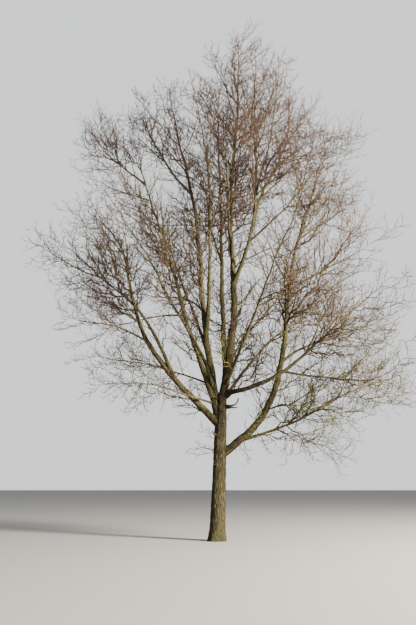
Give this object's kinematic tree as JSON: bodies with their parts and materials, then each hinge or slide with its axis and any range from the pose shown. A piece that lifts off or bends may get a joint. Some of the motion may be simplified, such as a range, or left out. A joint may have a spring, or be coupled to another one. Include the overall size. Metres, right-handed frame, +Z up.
{
  "type": "bare oak tree",
  "caption": "Whole bare winter oak: flared trunk cut flat at the ground, ascending boughs and a leafless crown of fine twigs.",
  "frame": {"origin": "middle of the flat cut at ground level under the trunk", "axes": "+Z up along the trunk, +X to the right and +Y away from the viewer of the picture"},
  "size_m": [12.052, 12.5085, 18.1419],
  "materials": {
    "trunk_bark": "rough fissured bark",
    "bough_bark": "rough bark",
    "twigs": "matte twig bark"
  },
  "bodies": {
    "root": {"bough_back_left": "bough_bark", "bough_back_low": "bough_bark", "bough_back_right": "bough_bark", "bough_back_stem": "bough_bark", "bough_front_left": "bough_bark", "bough_front_low": "bough_bark", "bough_front_right": "bough_bark", "bough_front_stem": "bough_bark", "bough_leader": "bough_bark", "bough_left_flat": "bough_bark", "bough_left_high": "bough_bark", "bough_left_mid": "bough_bark", "bough_left_outer": "bough_bark", "bough_left_sag": "bough_bark", "bough_left_stem": "bough_bark", "bough_left_thin_low": "bough_bark", "bough_left_thin_up": "bough_bark", "bough_left_upper": "bough_bark", "bough_low_left": "bough_bark", "bough_low_right": "bough_bark", "bough_low_right_foot": "bough_bark", "bough_low_sweep": "bough_bark", "bough_right_cross": "bough_bark", "bough_right_high": "bough_bark", "bough_right_inner": "bough_bark", "bough_right_sag": "bough_bark", "bough_right_side_high": "bough_bark", "bough_right_side_low": "bough_bark", "bough_right_side_mid": "bough_bark", "bough_right_upright": "bough_bark", "trunk": "trunk_bark", "twigs_back_left": "twigs", "twigs_back_low": "twigs", "twigs_back_right": "twigs", "twigs_back_stem": "twigs", "twigs_front_left": "twigs", "twigs_front_low": "twigs", "twigs_front_right": "twigs", "twigs_front_stem": "twigs", "twigs_leader": "twigs", "twigs_left_flat": "twigs", "twigs_left_high": "twigs", "twigs_left_mid": "twigs", "twigs_left_outer": "twigs", "twigs_left_sag": "twigs", "twigs_left_stem": "twigs", "twigs_left_thin_low": "twigs", "twigs_left_thin_up": "twigs", "twigs_left_upper": "twigs", "twigs_low_left": "twigs", "twigs_low_right": "twigs", "twigs_low_sweep": "twigs", "twigs_right_cross": "twigs", "twigs_right_high": "twigs", "twigs_right_inner": "twigs", "twigs_right_sag": "twigs", "twigs_right_side_high": "twigs", "twigs_right_side_low": "twigs", "twigs_right_side_mid": "twigs", "twigs_right_upright": "twigs"}
  },
  "joints": []
}
